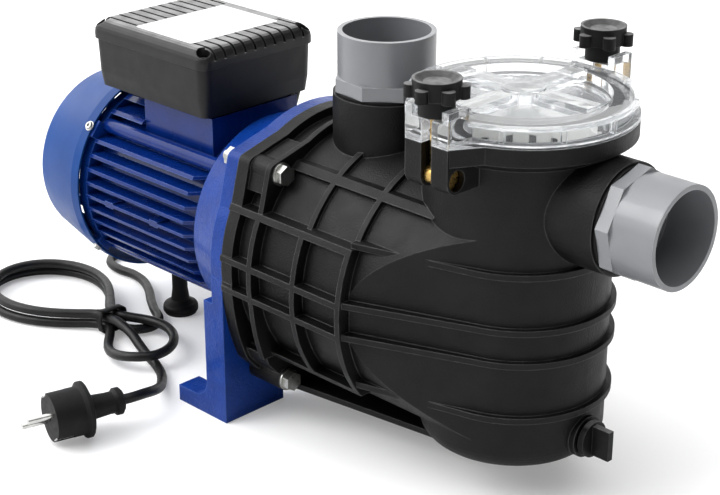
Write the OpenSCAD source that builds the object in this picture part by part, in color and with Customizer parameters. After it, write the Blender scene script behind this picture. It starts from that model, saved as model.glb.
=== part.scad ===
// Pool pump: an electric motor, a cast bracket, and a ribbed plastic pump casing
// with a strainer pot in front. All sizes are in millimetres.
// Pieces are drawn from the casing flange, on the shaft axis, with X towards the suction port.

/* [Layout] */
// Height of the motor and pump axis above the floor
shaft_z = 126; // [105:1:152]
// Half width of the bracket and of the casing flange
half_w = 104; // [96:1:125]
// Distance from the casing flange to the strainer pot axis
pot_x = 190.5; // [180:0.5:229]
// Distance from the casing flange to the discharge port axis
discharge_x = 65.5; // [58:0.5:74]
// Height of the suction port axis above the shaft axis
suction_up = 91; // [76:1:96]

/* [Motor] */
// Length of the finned motor frame
frame_len = 139; // [116:1:167]
// Radius of the frame over its fin tips
fin_r = 78; // [76:0.5:80]
// Outer radius of the frame under its fins
frame_r = 66; // [64:0.5:68]
// Radius of the frame bore that holds the stator
stator_r = 60; // [50:0.5:62]
// Number of fins on each side
fin_count = 9; // [5:1:9]
// Distance between fins
fin_pitch = 11.1; // [9:0.1:11.5]
// Thickness of a fin
fin_t = 2.6; // [1.6:0.1:4]
// Outer radius of the fan cover
cover_r = 84.2; // [82:0.2:86]
// Outer radius of the fan cover at its rear
cover_rear_r = 73; // [69:0.5:79]
// Length of the fan cover
cover_len = 66; // [58:1:79]
// Wall of the fan cover
cover_wall = 1.6; // [1:0.1:2.5]
// Length of the stator and rotor stacks
stack_len = 84; // [70:1:90]
// Radius of the rotor
rotor_r = 32; // [27:0.5:38]
// Radius of the motor shaft between its bearings
shaft_r = 11; // [9.5:0.5:13]

/* [Terminal box] */
// Length of the terminal box
box_len = 137; // [114:1:160]
// Half width of the terminal box
box_half_w = 58; // [48:0.5:70]
// Height of the terminal box without its lid
box_h = 39; // [36:1:47]
// Height of the terminal box lid
box_lid_h = 15; // [12.5:0.5:18]
// Wall of the terminal box
box_wall = 2.5; // [2:0.1:4]

/* [Bracket] */
// Length of the bell between the motor and the flange
bell_len = 58; // [53:1:70]
// Thickness of the bracket plate
plate_t = 12; // [10:0.5:14.5]
// Width of the gap between the legs
leg_gap = 91; // [76:1:108]
// Height of the gap between the legs
leg_gap_h = 24; // [20:1:28]
// Length of a foot along the motor
foot_len = 55; // [46:1:66]
// Width of a foot
foot_w = 20; // [17:1:24]
// Thickness of a foot
foot_t = 13; // [11:0.5:15.5]

/* [Casing] */
// Outer radius of the casing barrel
barrel_r = 97; // [94:0.5:99]
// Wall of the casing
casing_wall = 6.5; // [5.5:0.1:7.8]
// Height of the side ribs and hoops
rib_h = 8.5; // [7:0.5:10]
// Thickness of a rib
rib_t = 4.5; // [3.8:0.1:5.4]
// Distance between the hoops
hoop_pitch = 45; // [38:0.5:50]
// Outer radius of the strainer pot
pot_r = 65.5; // [63.5:0.5:70]
// Depth of the pot floor below the shaft axis
pot_down = 96; // [80:1:100]
// Height of the lid seat above the shaft axis
lid_up = 143; // [137:1:160]
// Outer radius of a port
port_r = 38.5; // [37:0.5:40]
// Diameter of the casing bolts
bolt_d = 8; // [6.5:0.1:9.6]

/* [Pipe adapters] */
// Outer diameter of the pipe that is glued into an adapter
pipe_d = 63; // [58:0.5:63.5]
// Depth of the pipe socket
socket_depth = 36; // [30:1:43]
// Wall of the pipe socket
socket_wall = 3.6; // [3:0.1:4]
// Thickness of the eight-sided collar
collar_t = 10; // [8:0.5:12]

/* [Lid and knobs] */
// Radius of the clear lid
lid_r = 78; // [76:0.5:80]
// Height of the lid rim
lid_h = 15; // [13.5:0.5:16]
// Distance of a knob from the pot axis
knob_y = 84.3; // [83:0.1:88]
// Radius of a knob over its lobes
knob_r = 21; // [18.5:0.5:25]
// Height of a knob
knob_h = 24; // [22:0.5:28]
// Radius of a swing bolt
swing_r = 3.9; // [3.3:0.1:4.6]

/* [Cord] */
// Diameter of the mains cord
cord_d = 8; // [6.5:0.1:8.4]
// Diameter of the plug at its face
plug_d = 37; // [31:0.5:40]

/* [Hidden] */
$fn = 64;

// Clearances
fit = 0.05;
run_gap = 0.3;
seat_gap = 0.1;

// Stations along the shaft, from the casing flange
frame_front = -bell_len;
frame_rear = frame_front - frame_len;
shield_t = 10;
cover_front = frame_rear - 3;
cover_rear = cover_front - cover_len;
stack_front = frame_front - 20;
stack_rear = stack_front - stack_len;

// The part stands on the floor, centred between the fan cover and the suction adapter
port_reach = 90.5;
gasket_t = 2;
socket_out = 32.5;
suction_face = pot_x + port_reach;
suction_end = suction_face + gasket_t + collar_t + socket_out;
flange_x = -(suction_end + cover_rear) / 2;
floor_z = -shaft_z;

// Bearings, as bore, outer radius, width, ball radius and ball count
front_bearing = [8.5, 20, 12, 3.4, 8];
rear_bearing = [7.5, 17.5, 11, 2.9, 8];
front_bearing_x = -28;
rear_bearing_x = frame_rear + 4 - rear_bearing[2];
nose_r = front_bearing[0];
tail_r = rear_bearing[0];

// Tie rods run in four channels of the frame
rod_r = 2.5;
channel_r = 6;
rod_pitch_r = fin_r - channel_r;
rod_angles = [45, 135, 225, 315];

// Casing outline: round above with a corner for each upper bolt, side arcs and a flat bottom below
side_arc_r = 160;
side_arc_up = -8;
crown_up = half_w;
corner_r = half_w + 12;
bottom_down = half_w - 5;
rim_t = 11;

// Casing bolts, two each side, as their sideways and upward places
bolt_spots = [[half_w - 30, half_w - 28], [half_w - 33, 16 - half_w]];
bolt_r = bolt_d / 2;
hex_r = bolt_d * 0.94;
washer_t = 1.6;

// Casing hoops, and ribs from the top down
hoop_x = [for (i = [0:2]) 31 + i * hoop_pitch];
upper_rib_h = 3.5;
shelf_up = 82;
rib_ups = [50, 13, -11, -60];
band_ups = [54, 14, -10, -51];
band_r = pot_r + 4;
barrel_bore_r = barrel_r - casing_wall;
pot_bore_r = pot_r - casing_wall;
barrel_depth = hoop_x[2] - 21;
eye_r = 25;
thread_r = port_r - 7.5;
discharge_top = 129;

// Lid seat, pivot and ears
pot_flange_r = lid_r;
pot_flange_h = 12;
pivot_down = 22.5;
pivot_up = lid_up - pivot_down;
ear_half_w = 18.3;
ear_out = knob_y + 9.2;
slot_half_w = swing_r + 0.5;
ear_seat_up = lid_h + 2.6;
ear_wall_up = lid_h + 9;
knob_bottom = ear_seat_up + 0.4;
stem_r = 12;
pin_r = 3.5;
pin_head_r = 6.8;
pin_head_t = 2.8;
eye_ring_r = 6.5;

// Basket ledge inside the pot
ledge_down = 19;
ledge_w = 3;
basket_rim_r = pot_bore_r - run_gap;
basket_r = pot_bore_r - ledge_w - 2;
basket_h = 172;
basket_wall = 2.2;

// Drain plug on the front of the pot
drain_up = -76;
drain_x = pot_x + pot_r;

// Terminal box on its pedestal
pedestal_up = 83;
pedestal_half_w = 44;
box_gasket_t = 3;
box_x1 = frame_front - 10;
box_x0 = box_x1 - box_len;
box_bottom = pedestal_up + box_gasket_t;
box_top = box_bottom + box_h;
box_corner = 9;
pedestal_x0 = frame_front - 100;
pedestal_x1 = frame_front - 18;
wire_hole_x = frame_front - 30;
gland_x = frame_front - 90;
gland_up = box_bottom + 17;
gland_r = 8;

// Support foot under the rear of the motor
foot_x = frame_rear + 18;
post_r = 5.5;

// Cord, from the casing flange on the floor: the lead, the tied hank and the tail to the plug
cord_r = cord_d / 2;
cord_rest = cord_r + 0.1;
gland_reach = 31;
gland_end = [gland_x, box_half_w + gland_reach, shaft_z + gland_up];
lead_points = [[0, 0, 0], [0, 8, 0], [0, 16, 0], [-5, 30, -10], [-15, 39, -40], [-28, 40, -78],
    [-48, 36, -118],
    [-76, 27, -156], [-106, 11, -188], [-134, -8, -208], [-152, -28, -221]];
lead_floor_points = [[-306.25, 40, 4.1], [-306.25, 25, 4.1], [-296.25, 15, 4.1], [-280.25, 12, 4.1],
    [-262.25, 14, 4.1],
    [-244.25, 11, 4.1], [-225.25, 2, 4.1], [-207.25, -10, 4.1], [-190.25, -20, 4.1], [-174.25, -28, 4.1],
    [-165.25, -41, 4.3], [-167.25, -55, 5.3]];
// The hank lies drawn in at the tie, with two loops to the left and one to the right
hank_centre = [-190.25, -66];
left_reach = 146;
left_swell = 127;
right_reach = 88;
right_swell = 76;
right_lean = 14;
end_round = 0.6;
waist_soft = 0.25;
inner_step = 5;
waist_half = cord_r + 0.4;
waist_lift = 1.8;
layer_step = cord_d + 0.8;
rings_per_loop = 48;
hank_from = 90;
hank_to = 630;
climb_from = 285;
climb_to = 345;
tail_points = [[-157.25, -71, 10.8], [-141.25, -74.5, 6], [-124.25, -79.5, 4.1], [-107.25, -85, 4.1],
    [-92.25, -92, 4.1],
    [-79.25, -102, 5.5], [-67, -113.5, 10], [-56.5, -127.5, 16], [-50.8, -141, 20.6]];
plug_end = [-52.25, -161, 22.1];
plug_heading = -105.5;
plug_roll = 37;

// Helpers
function unit(v) = v / norm(v);
function arc(c, r, a0, a1, n = 8) =
    [for (i = [0:n]) let (a = a0 + (a1 - a0) * i / n) [c[0] + r * cos(a), c[1] + r * sin(a)]];
function rounded_rect(x0, x1, y0, y1, r) = concat(
    arc([x1 - r, y1 - r], r, 0, 90), arc([x0 + r, y1 - r], r, 90, 180),
    arc([x0 + r, y0 + r], r, 180, 270), arc([x1 - r, y0 + r], r, 270, 360));
// Where a line from a point touches a round pot, seen from above
function touch_angle(a, r) = atan2(a[1], a[0] - pot_x) + acos(r / norm([a[0] - pot_x, a[1]]));

module on_axis() translate([flange_x, 0, shaft_z]) children();
module on_floor() translate([flange_x, 0, 0]) children();
module along_x(x) translate([x, 0, 0]) rotate([0, 90, 0]) children();
module rod(x0, x1, r) along_x(x0) cylinder(r = r, h = x1 - x0);
module ring(x0, x1, r0, r1) difference() {
    rod(x0, x1, r1);
    rod(x0 - 1, x1 + 1, r0);
}
module slab(x0, x1) translate([x0, 0, 0]) rotate([90, 0, 90]) linear_extrude(x1 - x0) children();
module box(x0, x1, y0, y1, z0, z1) translate([x0, y0, z0]) cube([x1 - x0, y1 - y0, z1 - z0]);
module both_sides() {
    children();
    mirror([0, 1, 0]) children();
}
module round_x(a) rotate([a, 0, 0]) children();

// Smooth curve through points, and a tube swept along a curve
function smooth_at(p, i, t) = let (
    n = len(p) - 1,
    a = p[max(i - 1, 0)], b = p[i], c = p[i + 1], d = p[min(i + 2, n)])
    0.5 * (2 * b + t * (c - a) + t * t * (2 * a - 5 * b + 4 * c - d)
        + t * t * t * (3 * b - a - 3 * c + d));
function smooth(p, steps) = concat(
    [for (i = [0:len(p) - 2], s = [0:steps - 1]) smooth_at(p, i, s / steps)], [p[len(p) - 1]]);
function tangents(p) = [for (i = [0:len(p) - 1])
    unit(p[min(i + 1, len(p) - 1)] - p[max(i - 1, 0)])];
function carried(t, first) = [for (i = 0, s = first; i < len(t);
    i = i + 1, s = i < len(t) ? unit(s - (s * t[i]) * t[i]) : s) s];
module tube(p, r, sides, from_way, to_way) {
    along = tangents(p);
    n = len(p) - 1;
    t = [for (i = [0:n]) i == 0 ? from_way : i == n ? to_way : along[i]];
    side = carried(t, unit(cross(t[0], [0.02, 0.03, 1])));
    rings = [for (i = [0:len(p) - 1], k = [0:sides - 1]) let (a = 360 * k / sides)
        p[i] + r * (cos(a) * side[i] + sin(a) * cross(t[i], side[i]))];
    skin(rings, sides);
}
module skin(rings, sides) {
    last = len(rings) - sides;
    walls = [for (i = [0:sides:last - 1], k = [0:sides - 1]) let (a = i + k, b = i + (k + 1) % sides)
        each [[a, a + sides, b], [b, a + sides, b + sides]]];
    start_cap = [for (k = [1:sides - 2]) [0, k, k + 1]];
    end_cap = [for (k = [1:sides - 2]) [last, last + k + 1, last + k]];
    polyhedron(rings, concat(walls, start_cap, end_cap));
}

// Motor
module fin_envelope() rotate([0, 90, 0]) rotate_extrude()
    polygon([[0, frame_rear], [fin_r, frame_rear], [fin_r, frame_front - 17],
        [frame_r, frame_front - 5], [0, frame_front - 5]]);

module tie_channels(x0, x1, r) for (a = rod_angles)
    round_x(a) translate([0, rod_pitch_r, 0]) rod(x0, x1, r);

fin_drop = -2.8;
top_fins = [62, 71];
pad_x = [frame_front - 53, frame_front - 109];
module motor_frame() color("royalblue") difference() {
    union() {
        rod(frame_rear, frame_front, frame_r);
        intersection() {
            fin_envelope();
            union() {
                for (i = [0:fin_count - 1])
                    translate([0, 0, (i - (fin_count - 1) / 2) * fin_pitch + fin_drop])
                        box(frame_rear, frame_front, -fin_r, fin_r, -fin_t / 2, fin_t / 2);
                for (up = top_fins)
                    box(frame_rear, pedestal_x0 + 1, -fin_r, fin_r, up - fin_t / 2, up + fin_t / 2);
                for (x = pad_x) box(x - 5, x + 5, -fin_r, fin_r, fin_drop - fin_t, fin_drop + fin_t);
            }
        }
        tie_channels(frame_rear, frame_front, channel_r);
        for (a = rod_angles) round_x(a)
            box(frame_rear, frame_front, frame_r - 3, rod_pitch_r, -channel_r + 1, channel_r - 1);
        box(pedestal_x0, pedestal_x1, -pedestal_half_w, pedestal_half_w, 0, pedestal_up);
        translate([foot_x, 0, -fin_r]) cylinder(r = 11, h = fin_r - stator_r);
    }
    rod(frame_rear - 1, frame_front + 1, stator_r);
    tie_channels(frame_rear - 1, frame_front + 1, rod_r + fit);
    translate([wire_hole_x, 0, 0]) cylinder(r = 9, h = pedestal_up + 1);
    translate([foot_x, 0, -fin_r - 1]) cylinder(r = post_r + fit, h = fin_r - stator_r - 3);
}

slot_count = 24;
slot_in = rotor_r + 3.5;
slot_out = stator_r - 9;
slot_w = 5;
module slot_bars(x0, x1, w, r0, r1) for (i = [0:slot_count - 1])
    round_x(i * 360 / slot_count) box(x0, x1, -w / 2, w / 2, r0, r1);

module stator_core() color("dimgray") difference() {
    rod(stack_rear, stack_front, stator_r - fit);
    rod(stack_rear - 1, stack_front + 1, rotor_r + 0.4);
    slot_bars(stack_rear - 1, stack_front + 1, slot_w, slot_in, slot_out);
}

module stator_winding() color("peru") {
    slot_bars(stack_rear - 2, stack_front + 2, slot_w - 2 * seat_gap, slot_in + seat_gap,
        slot_out - seat_gap);
    ring(stack_rear - 16, stack_rear - 1, slot_in + 1, slot_out + 2);
    ring(stack_front + 1, stack_front + 16, slot_in + 1, slot_out + 2);
}

module rotor_core() color("silver") {
    ring(stack_rear, stack_front, shaft_r + fit, rotor_r);
    ring(stack_rear - 8, stack_rear, rotor_r - 11, rotor_r - 1);
    ring(stack_front, stack_front + 8, rotor_r - 11, rotor_r - 1);
}

nut_x = 45;
nut_t = 7;
shaft_end_r = 6.5;
fan_x = frame_rear - shield_t - 6;
fan_t = 30;
module motor_shaft() color("lightgray") {
    rod(fan_x - fan_t - 2, rear_bearing_x + rear_bearing[2], tail_r);
    rod(rear_bearing_x + rear_bearing[2], front_bearing_x, shaft_r);
    rod(front_bearing_x, 16, nose_r);
    rod(16, nut_x + nut_t + 3, shaft_end_r);
}

// A ball bearing: its rings have round grooves that leave the balls a running gap
function ball_pitch_r(b) = (b[0] + b[1]) / 2;
function race_half(b) = b[3] * 0.72;
module groove(b, x) along_x(x + b[2] / 2) rotate_extrude()
    translate([ball_pitch_r(b), 0]) circle(b[3] + fit);
module bearing_outer(b, x) color("gainsboro") difference() {
    ring(x, x + b[2], ball_pitch_r(b) + race_half(b), b[1] - fit / 2);
    groove(b, x);
}
module bearing_inner(b, x) color("gainsboro") difference() {
    ring(x, x + b[2], b[0] + fit / 2, ball_pitch_r(b) - race_half(b));
    groove(b, x);
}
module bearing_balls(b, x) color("white") for (i = [0:b[4] - 1])
    round_x(i * 360 / b[4]) translate([x + b[2] / 2, ball_pitch_r(b), 0]) sphere(b[3]);

module front_bearing_outer_ring() bearing_outer(front_bearing, front_bearing_x);
module front_bearing_inner_ring() bearing_inner(front_bearing, front_bearing_x);
module front_bearing_balls() bearing_balls(front_bearing, front_bearing_x);
module rear_bearing_outer_ring() bearing_outer(rear_bearing, rear_bearing_x);
module rear_bearing_inner_ring() bearing_inner(rear_bearing, rear_bearing_x);
module rear_bearing_balls() bearing_balls(rear_bearing, rear_bearing_x);

screw_r = 2;
screw_angles = [38.5, 141.5, 218.5, 321.5];
module cover_screw_holes(r) for (a = screw_angles) round_x(a)
    translate([frame_rear - shield_t / 2 - 0.5, rod_pitch_r + 4, 0]) rotate([-90, 0, 0])
        cylinder(r = r, h = cover_r);

module rear_end_shield() color("slategray") difference() {
    union() {
        rod(frame_rear - shield_t, frame_rear, rod_pitch_r + 5);
        rod(frame_rear, frame_rear + 4, stator_r - fit);
        rod(frame_rear, rear_bearing_x + rear_bearing[2] + 2, rear_bearing[1] + 6);
        intersection() {
            rod(frame_rear - shield_t, frame_rear, cover_r - cover_wall - run_gap);
            for (a = screw_angles) round_x(a)
                box(frame_rear - shield_t, frame_rear, stator_r, cover_r, -7, 7);
        }
    }
    rod(rear_bearing_x, frame_rear + stack_len, rear_bearing[1]);
    rod(frame_rear - shield_t - 1, frame_rear + 1, tail_r + 1);
    ring(frame_rear + 1, frame_rear + 5, rear_bearing[1] + 6, stator_r - 4);
    tie_channels(frame_rear - shield_t - 1, frame_rear + 1, rod_r + fit);
    cover_screw_holes(screw_r + fit);
}

module tie_rods() color("silver") {
    tie_channels(frame_rear - shield_t, frame_front + 12, rod_r);
    tie_channels(frame_rear - shield_t - 3.5, frame_rear - shield_t, 4.2);
}

blade_count = 7;
fan_r = frame_r - 3;
module cooling_fan() color("black") difference() {
    union() {
        rod(fan_x - fan_t, fan_x, 14);
        rod(fan_x - 3, fan_x, fan_r);
        for (i = [0:blade_count - 1]) round_x(i * 360 / blade_count)
            box(fan_x - fan_t + 2, fan_x - 1, -1.1, 1.1, 10, fan_r);
    }
    rod(fan_x - fan_t - 1, fan_x + 1, tail_r + fit);
}

cover_edge = 5;
cover_skirt = 9;
module cover_form(r, rear_r, depth, edge) {
    lean = atan2(r - rear_r, depth - cover_skirt);
    turn_r = rear_r + edge * tan(lean) - edge / cos(lean);
    along_x(cover_front) mirror([0, 0, 1]) rotate_extrude() polygon(concat(
        [[0, 0], [r, 0], [r, cover_skirt]], arc([turn_r, depth - edge], edge, lean, 90, 6), [[0, depth]]));
}

grille_rings = 5;
grille_gap = 5;
module fan_cover() color("cornflowerblue") difference() {
    cover_form(cover_r, cover_rear_r, cover_len, cover_edge);
    translate([0.01, 0, 0]) cover_form(cover_r - cover_wall, cover_rear_r - cover_wall,
        cover_len - cover_wall, cover_edge - cover_wall);
    difference() {
        for (i = [0:grille_rings - 1])
            ring(cover_rear - 1, cover_rear + cover_wall + 1, 15 + i * 10, 15 + i * 10 + grille_gap);
        for (a = [0:45:135]) round_x(a)
            box(cover_rear - 2, cover_rear + cover_wall + 2, -2.5, 2.5, -cover_r, cover_r);
    }
    cover_screw_holes(screw_r + fit);
}

module fan_cover_screws() color("silver") for (a = screw_angles) round_x(a)
    translate([frame_rear - shield_t / 2 - 0.5, 0, 0]) rotate([-90, 0, 0]) difference() {
        union() {
            translate([0, 0, rod_pitch_r + 4]) cylinder(r = screw_r, h = cover_r - rod_pitch_r - 3);
            translate([0, 0, cover_r + seat_gap]) cylinder(r = 4.2, h = 0.7);
            translate([0, 0, cover_r + seat_gap]) cylinder(r1 = 3.6, r2 = 2.9, h = 2.4);
        }
        translate([0, 0, cover_r + 1]) cylinder(r = 1.6, h = 3, $fn = 6);
    }

module support_foot() color("black") {
    translate([foot_x, 0, floor_z]) {
        rotate_extrude() polygon(concat([[0, 0], [13.5, 0]], arc([13.5, 3], 1.5, -60, 0, 3),
            arc([11, 5.5], 4, 0, 80, 5), [[8, 12], [6.6, 22], [0, 22]]));
        cylinder(r = 6.6, h = shaft_z - fin_r - run_gap);
        cylinder(r = post_r, h = shaft_z - stator_r - 8);
    }
}

// Terminal box
module plan_plate(x0, x1, half, r, z0, z1)
    translate([0, 0, z0]) linear_extrude(z1 - z0) polygon(rounded_rect(x0, x1, -half, half, r));

module terminal_box_gasket() color("black") difference() {
    plan_plate(pedestal_x0 + 1, pedestal_x1 - 2, pedestal_half_w - 1, 6, pedestal_up, box_bottom);
    translate([wire_hole_x, 0, 0]) cylinder(r = 9, h = box_top);
}

box_draft = 4.5;
box_inset = 1.5;
box_floor_round = 12;
module terminal_box() color("black") difference() {
    hull() {
        plan_plate(box_x0 + box_draft, box_x1 - box_draft, box_half_w - box_draft, box_corner - 3,
            box_bottom, box_bottom + 1);
        plan_plate(box_x0 + box_inset + 1, box_x1 - box_inset - 1, box_half_w - box_inset - 1, box_corner - 1,
            box_bottom + box_floor_round, box_bottom + box_floor_round + 1);
        plan_plate(box_x0 + box_inset, box_x1 - box_inset, box_half_w - box_inset, box_corner,
            box_top - 1, box_top);
    }
    difference() {
        plan_plate(box_x0 + box_draft + box_wall, box_x1 - box_draft - box_wall,
            box_half_w - box_draft - box_wall, box_corner - 4, box_bottom + box_wall, box_top + 1);
        lid_screw_places() translate([0, 0, -20]) cylinder(r = 5, h = 22);
    }
    translate([wire_hole_x, 0, 0]) cylinder(r = 9, h = box_top);
    translate([gland_x, 0, gland_up]) rotate([-90, 0, 0]) cylinder(r = gland_r + fit, h = box_half_w + 1);
    lid_screw_places() translate([0, 0, -14]) cylinder(r = screw_r + fit, h = 15);
}

module lid_screw_places() for (x = [box_x0 + 7.5, box_x1 - 7.5], y = [-1, 1] * (box_half_w - 7.5))
    translate([x, y, box_top]) children();

// Lid shoulder, as inset and height, with grooves that run over it at both ends
lid_seat_h = 5;
lid_round_w = 9.5;
lid_round_h = box_lid_h - lid_seat_h;
lid_shoulder = concat([[0, 0]],
    [for (a = [0:15:90]) [lid_round_w * (1 - cos(a)), lid_seat_h + lid_round_h * sin(a)]]);
lid_rib_count = 10;
lid_rib_pitch = 2 * (box_half_w - 8) / lid_rib_count;
rear_rib_zone = 44;
front_rib_zone = 30;
lid_groove = 1.6;
module lid_form(d) {
    rings = [for (step = lid_shoulder) let (in = step[0] + d) [for (p = rounded_rect(box_x0 + in, box_x1 - in,
        in - box_half_w, box_half_w - in, box_corner - d)) [p[0], p[1], box_top + step[1] - d]]];
    skin([for (r = rings) each r], len(rings[0]));
}
module lid_grooves(x0, x1) for (i = [0:lid_rib_count - 1]) {
    y = (i - (lid_rib_count - 1) / 2) * lid_rib_pitch;
    box(x0, x1, y - 1.2, y + 1.2, box_top + lid_seat_h + 1, box_top + box_lid_h + 1);
}
module terminal_box_lid() color("black") difference() {
    union() {
        difference() {
            lid_form(0);
            lid_grooves(box_x0 - 1, box_x0 + rear_rib_zone);
            lid_grooves(box_x1 - front_rib_zone, box_x1 + 1);
        }
        intersection() {
            lid_form(lid_groove);
            box(box_x0, box_x1, -box_half_w, box_half_w, box_top + 1, box_top + box_lid_h);
        }
    }
    plan_plate(box_x0 + 14, box_x1 - 14, box_half_w - 14, 4, box_top - 1, box_top + box_lid_h - 4);
    lid_screw_places() {
        translate([0, 0, -1]) cylinder(r = screw_r + fit, h = box_lid_h + 2);
        translate([0, 0, lid_seat_h]) cylinder(r = 5.4, h = box_lid_h);
    }
}

module terminal_lid_screws() color("silver") lid_screw_places() {
    translate([0, 0, -12]) cylinder(r = screw_r, h = 12 + lid_seat_h);
    translate([0, 0, lid_seat_h]) cylinder(r = 3.9, h = 2.6);
}

module terminal_block() color("ivory") difference() {
    box(wire_hole_x - 46, wire_hole_x - 14, -16, 16, box_bottom + box_wall, box_bottom + box_wall + 14);
    for (x = [-40, -30, -20], y = [-9, 9])
        translate([wire_hole_x + x, y, box_bottom + box_wall + 6]) cylinder(r = 2.5, h = 20);
}

capacitor_r = 14;
module run_capacitor() color("lightgray")
    translate([0, -box_half_w + 22, box_bottom + box_wall + capacitor_r + seat_gap])
    rod(box_x0 + 20, box_x0 + 90, capacitor_r);

module cable_gland() color("dimgray") translate([gland_x, 0, gland_up]) rotate([-90, 0, 0]) {
    translate([0, 0, box_half_w - box_draft - box_wall - 4])
        cylinder(r = gland_r, h = box_draft + box_wall + 5);
    translate([0, 0, box_half_w]) cylinder(r = 12, h = 7, $fn = 6);
    translate([0, 0, box_half_w + 7]) cylinder(r1 = 10.5, r2 = 9, h = 9);
    translate([0, 0, box_half_w + 16]) cylinder(r1 = 7.5, r2 = cord_r + 1.4, h = gland_reach - 16);
}

// Bracket and casing share the same flange outline: round above, with a corner for each upper bolt
corner_tilt = 14.7;
corner_line = crown_up - 2;
corner_round = 6.5;
corner_lap = 10;
function corner_edge(a, in) = let (
    far = corner_line - in,
    middle = (corner_line - corner_round) / (cos(corner_tilt) + sin(corner_tilt)))
    concat([[far * cos(a) + corner_lap * sin(a), far * sin(a) - corner_lap * cos(a)]],
        arc([middle, middle], corner_round - in, a, 90 - a, 6),
        [[far * sin(a) - corner_lap * cos(a), far * cos(a) + corner_lap * sin(a)]],
        [[half_w / 2, half_w / 2]]);
module flange_outline(x0, x1, in = 0) {
    intersection() {
        slab(x0, x1) translate([side_arc_r - half_w, side_arc_up]) circle(side_arc_r - in, $fn = 200);
        slab(x0, x1) translate([half_w - side_arc_r, side_arc_up]) circle(side_arc_r - in, $fn = 200);
        slab(x0, x1) circle(corner_r - in, $fn = 200);
        box(x0, x1, -half_w - 1, half_w + 1, -bottom_down + in, side_arc_up);
    }
    intersection() {
        rod(x0, x1, crown_up - in);
        box(x0, x1, -half_w * 2, half_w * 2, side_arc_up - 6, crown_up * 2);
    }
    both_sides() slab(x0, x1) polygon(corner_edge(90 - corner_tilt, in));
}
module bracket_outline(x0, x1) {
    flange_outline(x0, x1);
    box(x0, x1, -half_w, half_w, floor_z, side_arc_up);
}
module bolt_places() for (spot = bolt_spots, side = [-1, 1])
    translate([0, side * spot[0], spot[1]]) children();

lantern_r = 26;
leg_round = 15;
leg_t = plate_t + 9.5;
leg_top = -30;
module pump_bracket() color("mediumblue") difference() {
    union() {
        bracket_outline(-plate_t, 0);
        intersection() {
            bracket_outline(frame_front, -plate_t / 2);
            along_x(frame_front) cylinder(r1 = fin_r + 3, r2 = crown_up - 4, h = bell_len - plate_t / 2);
        }
        both_sides() {
            box(-foot_len, 0, half_w - foot_w, half_w, floor_z, floor_z + foot_t);
            box(-leg_t, -1, half_w - foot_w, half_w, floor_z, leg_top);
            difference() {
                box(-leg_t - leg_round, -1, half_w - foot_w, half_w, floor_z, floor_z + foot_t + leg_round);
                translate([-leg_t - leg_round, half_w - foot_w - 1, floor_z + foot_t + leg_round])
                    rotate([-90, 0, 0]) cylinder(r = leg_round, h = foot_w + 2);
            }
        }
    }
    box(-foot_len - 1, 1, -leg_gap / 2, leg_gap / 2, floor_z - 1, floor_z + leg_gap_h);
    rod(frame_front - 1, front_bearing_x, stator_r);
    rod(front_bearing_x - 1, front_bearing_x + front_bearing[2], front_bearing[1]);
    rod(front_bearing_x, -8, front_bearing[1] - 3);
    rod(front_bearing_x + front_bearing[2] + 1, -8, lantern_r);
    rod(-9, 1, nose_r + 2);
    tie_channels(frame_front - 1, frame_front + 13, rod_r + fit);
    bolt_places() {
        rod(-plate_t - 1, 1, bolt_r + 0.3);
        rod(frame_front - 1, -plate_t, hex_r + 3.5);
    }
}

module slinger() color("black") ring(-13.5, -10.5, nose_r + fit, 15);

seal_plate_t = 7;
module seal_plate() color("dimgray") difference() {
    rod(0, seal_plate_t, barrel_bore_r - run_gap);
    rod(-1, 1, nose_r + 3);
    rod(0.9, seal_plate_t + 1, 16);
    ring(1.6, 5.6, barrel_bore_r - 3.6, barrel_bore_r + 1);
}

module casing_o_ring() color("black") along_x(3.6) rotate_extrude()
    translate([barrel_bore_r - 1.8, 0]) circle(1.65);

module seal_seat() color("white") ring(1 + seat_gap, seal_plate_t, nose_r + 1, 16 - fit);
module seal_head() color("gray") {
    ring(seal_plate_t + seat_gap, seal_plate_t + 4, nose_r + fit, 13);
    ring(seal_plate_t + 4, 16 - seat_gap, nose_r + fit, 14.5);
}

impeller_r = 58;
vane_count = 6;
shroud_back = 26;
shroud_front = 41;
module impeller() color("gray") difference() {
    union() {
        rod(16, nut_x, 14);
        rod(shroud_back - 3, shroud_back, impeller_r);
        ring(shroud_front, shroud_front + 3, eye_r - 2, impeller_r);
        ring(shroud_front, diffuser_front - 0.5, eye_r - 2, eye_r + 1);
        intersection() {
            ring(shroud_back - 1, shroud_front + 1, eye_r - 6, impeller_r);
            for (i = [0:vane_count - 1]) round_x(i * 360 / vane_count) intersection() {
                translate([0, 34, 0]) ring(shroud_back - 1, shroud_front + 1, 36, 38.5);
                box(shroud_back - 1, shroud_front + 1, -6, impeller_r, 0, impeller_r);
            }
        }
    }
    rod(15, nut_x + 1, shaft_end_r + fit);
}

module impeller_nut() color("silver") difference() {
    along_x(nut_x + seat_gap) cylinder(r = 11, h = nut_t, $fn = 6);
    rod(nut_x - 1, nut_x + nut_t + 1, shaft_end_r + fit);
}

diffuser_r = 76;
diffuser_front = 52;
diffuser_window = 12;
module diffuser() color("darkslategray") difference() {
    union() {
        ring(seal_plate_t, diffuser_front, diffuser_r - 4, diffuser_r);
        ring(diffuser_front - 4, diffuser_front, eye_r + 1.5, diffuser_r);
        ring(diffuser_front, barrel_depth + 6, eye_r, eye_r + 4);
        ring(diffuser_front - 4, diffuser_front, eye_r + 1.5, eye_r + 6);
    }
    for (a = [0:60:300]) round_x(a)
        box(shroud_back, shroud_front + 3, -diffuser_window, diffuser_window,
            diffuser_r - 10, diffuser_r + 1);
}

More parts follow.
